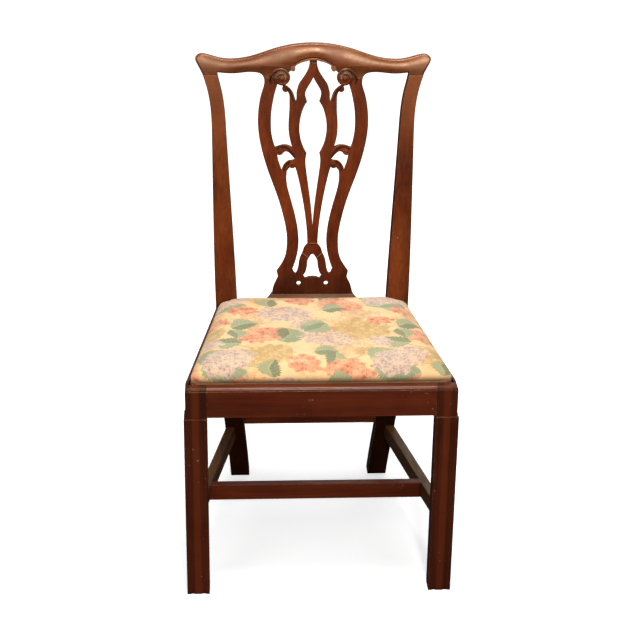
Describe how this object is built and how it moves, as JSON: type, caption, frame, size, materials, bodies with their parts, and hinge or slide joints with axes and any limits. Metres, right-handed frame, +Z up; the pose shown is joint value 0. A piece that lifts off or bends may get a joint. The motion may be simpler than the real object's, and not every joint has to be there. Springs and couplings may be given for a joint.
{
  "type": "chair",
  "caption": "Wooden dining chair with a pierced vase-shaped splat, eared crest rail, straight moulded front legs, stretchers and a padded drop-in seat.",
  "frame": {"origin": "middle of the chair's footprint, on the floor", "axes": "+Z up, the front of the chair faces -Y, +X to the left of a person who sits in it"},
  "size_m": [0.52, 0.52, 0.9866],
  "materials": {
    "polished_wood": "satin, reddish brown, polished",
    "plain_wood": "unfinished pale wood",
    "seat_fabric": "woven cotton with a printed floral pattern",
    "webbing": "woven jute",
    "hessian": "coarse woven cloth",
    "stuffing": "soft matted fibre",
    "dust_cover": "black plain cloth",
    "screws": "plain steel",
    "tacks": "blued steel"
  },
  "bodies": {
    "frame": {"back_left_corner_block": "plain_wood", "back_right_corner_block": "plain_wood", "back_seat_rail": "polished_wood", "back_stretcher": "polished_wood", "corner_block_screws": "screws", "crest_rail": "polished_wood", "cross_stretcher": "polished_wood", "front_left_corner_block": "plain_wood", "front_right_corner_block": "plain_wood", "front_seat_rail": "polished_wood", "left_back_post": "polished_wood", "left_front_leg": "polished_wood", "left_seat_rail": "polished_wood", "left_side_stretcher": "polished_wood", "right_back_post": "polished_wood", "right_front_leg": "polished_wood", "right_seat_rail": "polished_wood", "right_side_stretcher": "polished_wood", "shoe": "polished_wood", "splat": "polished_wood"},
    "seat": {"seat_cover": "seat_fabric", "seat_dust_cover": "dust_cover", "seat_frame_back": "plain_wood", "seat_frame_front": "plain_wood", "seat_frame_left": "plain_wood", "seat_frame_right": "plain_wood", "seat_hessian": "hessian", "seat_stuffing": "stuffing", "seat_tacks": "tacks", "seat_webbing": "webbing"}
  },
  "joints": [
    {"name": "seat_lift", "type": "slide", "parent": "frame", "child": "seat", "axis": [0, 0, 1], "range_m": [0, 0.12]}
  ]
}
